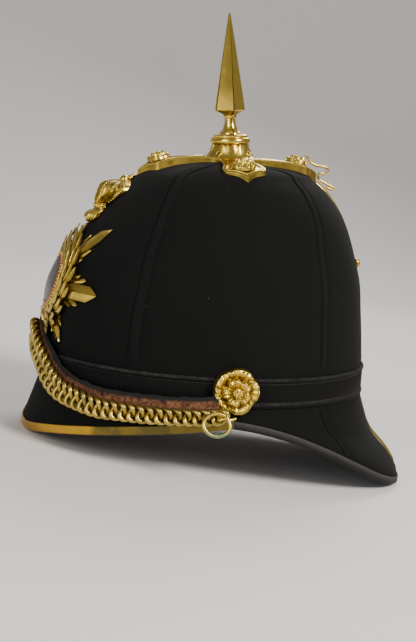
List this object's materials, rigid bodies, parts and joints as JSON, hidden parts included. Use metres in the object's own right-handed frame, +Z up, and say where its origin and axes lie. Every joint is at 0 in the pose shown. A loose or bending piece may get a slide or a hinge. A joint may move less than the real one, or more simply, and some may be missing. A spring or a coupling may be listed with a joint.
{
  "type": "home service helmet",
  "caption": "Tall cloth-covered helmet with front and rear peaks, fluted spike on a cross base, star plate, rose ear bosses and a curb chin chain over a leather strap.",
  "frame": {"origin": "centre of the object's box in plan, on the surface that the rim rests on", "axes": "+Z up through the spike, -Y to the front, +X to the wearer's left, at rest on the front and rear edges of the rim"},
  "size_m": [0.2142, 0.2652, 0.2826],
  "materials": {
    "navy_cloth": "fine matt wool",
    "gilt_brass": "gilt, polished on the high places",
    "old_brass": "dulled brass",
    "silver_plate": "dull silver",
    "black_leather": "worn satin",
    "brown_leather": "worn, faced with velvet"
  },
  "bodies": {
    "root": {"crown_shell": "navy_cloth", "front_peak": "navy_cloth", "rear_peak": "navy_cloth", "hat_band": "navy_cloth", "front_binding": "gilt_brass", "rear_binding": "black_leather", "cross_base": "gilt_brass", "spike_collar": "gilt_brass", "spike": "gilt_brass", "rosette_front": "gilt_brass", "rosette_left": "gilt_brass", "rosette_rear": "gilt_brass", "rosette_right": "gilt_brass", "back_bar": "gilt_brass", "back_bar_stud": "gilt_brass", "rear_hook": "gilt_brass", "boss_left": "gilt_brass", "boss_right": "gilt_brass", "boss_hook_left": "gilt_brass", "boss_hook_right": "gilt_brass", "end_ring": "old_brass", "chin_chain": "old_brass", "chin_strap": "brown_leather", "star_plate": "gilt_brass", "plate_wreath": "gilt_brass", "plate_crown": "gilt_brass", "plate_centre": "silver_plate"}
  },
  "joints": []
}
